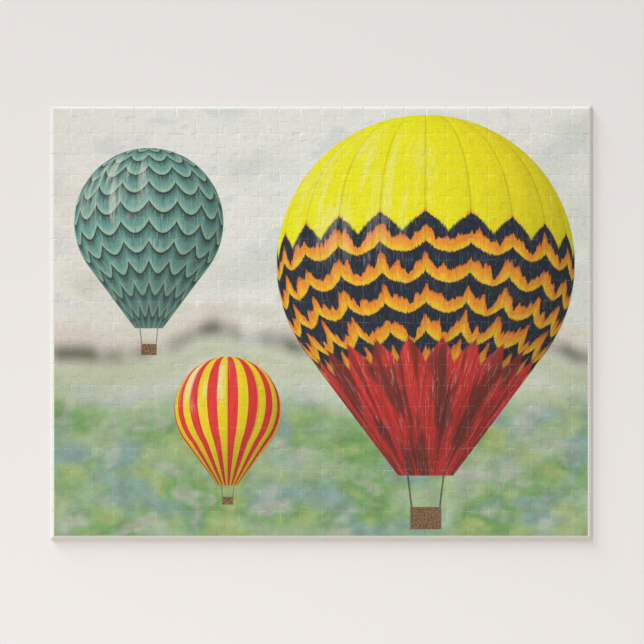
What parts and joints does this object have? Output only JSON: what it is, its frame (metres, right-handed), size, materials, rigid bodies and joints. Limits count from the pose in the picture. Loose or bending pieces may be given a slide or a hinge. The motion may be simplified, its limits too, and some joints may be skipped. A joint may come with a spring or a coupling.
{
  "type": "jigsaw puzzle",
  "caption": "Assembled picture jigsaw puzzle of interlocking ribbon-cut chipboard pieces, lying flat with its printed face up.",
  "frame": {"origin": "under the middle of the assembled puzzle, on the surface it lies on", "axes": "+X along the long side, +Y up the picture, +Z out of the printed face"},
  "size_m": [0.508, 0.4064, 0.002],
  "materials": {
    "printed_chipboard": "printed paper with a faint satin sheen on grey chipboard, average colour of the picture"
  },
  "bodies": {
    "root": {"block_r1_c1": "printed_chipboard", "block_r1_c2": "printed_chipboard", "block_r1_c3": "printed_chipboard", "block_r1_c4": "printed_chipboard", "block_r1_c5": "printed_chipboard", "block_r1_c6": "printed_chipboard", "block_r2_c1": "printed_chipboard", "block_r2_c2": "printed_chipboard", "block_r2_c3": "printed_chipboard", "block_r2_c4": "printed_chipboard", "block_r2_c5": "printed_chipboard", "block_r2_c6": "printed_chipboard", "block_r3_c1": "printed_chipboard", "block_r3_c2": "printed_chipboard", "block_r3_c3": "printed_chipboard", "block_r3_c4": "printed_chipboard", "block_r3_c5": "printed_chipboard", "block_r3_c6": "printed_chipboard", "block_r4_c1": "printed_chipboard", "block_r4_c2": "printed_chipboard", "block_r4_c3": "printed_chipboard", "block_r4_c4": "printed_chipboard", "block_r4_c5": "printed_chipboard", "block_r4_c6": "printed_chipboard", "block_r5_c1": "printed_chipboard", "block_r5_c2": "printed_chipboard", "block_r5_c3": "printed_chipboard", "block_r5_c4": "printed_chipboard", "block_r5_c5": "printed_chipboard", "block_r5_c6": "printed_chipboard"}
  },
  "joints": []
}
